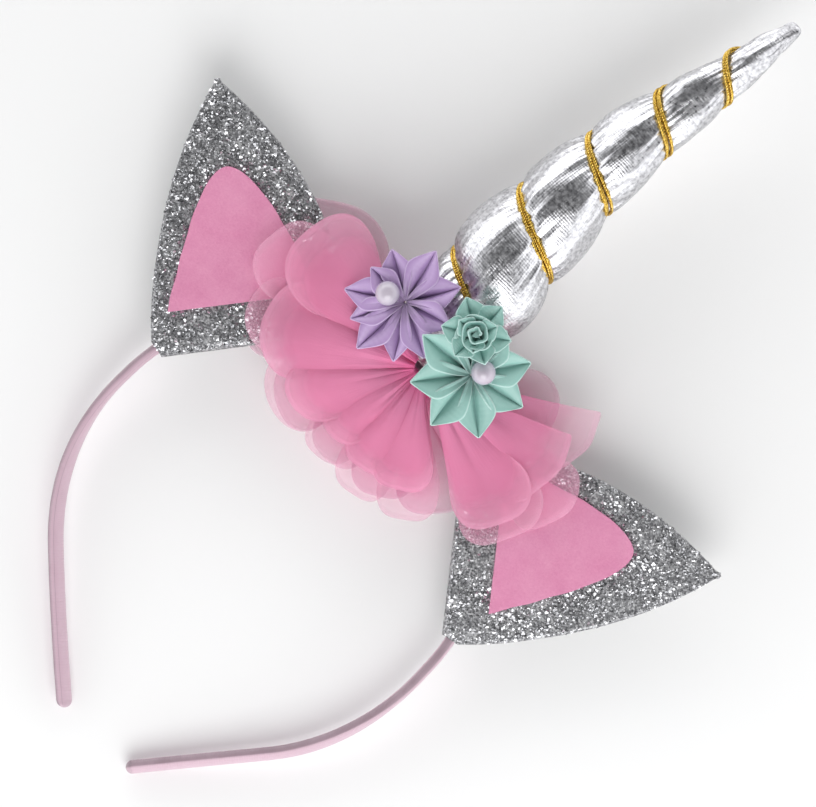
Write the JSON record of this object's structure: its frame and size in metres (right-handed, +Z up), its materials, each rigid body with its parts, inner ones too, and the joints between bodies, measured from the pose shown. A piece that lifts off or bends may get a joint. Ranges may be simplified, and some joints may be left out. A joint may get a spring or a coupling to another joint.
{
  "type": "headband",
  "caption": "Thin satin hair band with a stuffed silver horn wound in gold cord, folded glitter ears, chiffon petals, ribbon flowers and pearls.",
  "frame": {"origin": "on the surface it lies on, under the middle of its bounding box", "axes": "+Y from the legs' tips to the horn's tip, +Z up out of the front of the band as it lies on its back, +X to the right seen from the front"},
  "size_m": [0.206, 0.2912, 0.047],
  "materials": {
    "satin_band": "satin",
    "silver_glitter": "glitter",
    "pink_felt": "felt",
    "silver_lame": "metallic",
    "gold_cord": "metallic",
    "pink_chiffon": "sheer",
    "lilac_satin": "satin",
    "mint_satin": "satin",
    "pearl": "pearl"
  },
  "bodies": {
    "root": {"hoop": "satin_band", "ear_left": "silver_glitter", "ear_right": "silver_glitter", "inner_ear_left": "pink_felt", "inner_ear_right": "pink_felt", "horn": "silver_lame", "horn_cord": "gold_cord", "back_hub": "pink_chiffon", "front_hub": "pink_chiffon", "back_petal_1": "pink_chiffon", "back_petal_2": "pink_chiffon", "back_petal_3": "pink_chiffon", "back_petal_4": "pink_chiffon", "back_petal_5": "pink_chiffon", "back_petal_6": "pink_chiffon", "back_petal_7": "pink_chiffon", "back_petal_8": "pink_chiffon", "front_petal_1": "pink_chiffon", "front_petal_2": "pink_chiffon", "front_petal_3": "pink_chiffon", "front_petal_4": "pink_chiffon", "front_petal_5": "pink_chiffon", "front_petal_6": "pink_chiffon", "front_petal_7": "pink_chiffon", "front_petal_8": "pink_chiffon", "front_petal_9": "pink_chiffon", "top_petal_1": "pink_chiffon", "top_petal_2": "pink_chiffon", "top_petal_3": "pink_chiffon", "top_petal_4": "pink_chiffon", "top_petal_5": "pink_chiffon", "top_petal_6": "pink_chiffon", "top_petal_7": "pink_chiffon", "top_petal_8": "pink_chiffon", "lilac_flower": "lilac_satin", "lilac_pearl": "pearl", "mint_flower": "mint_satin", "mint_pearl": "pearl", "rose": "mint_satin"}
  },
  "joints": []
}
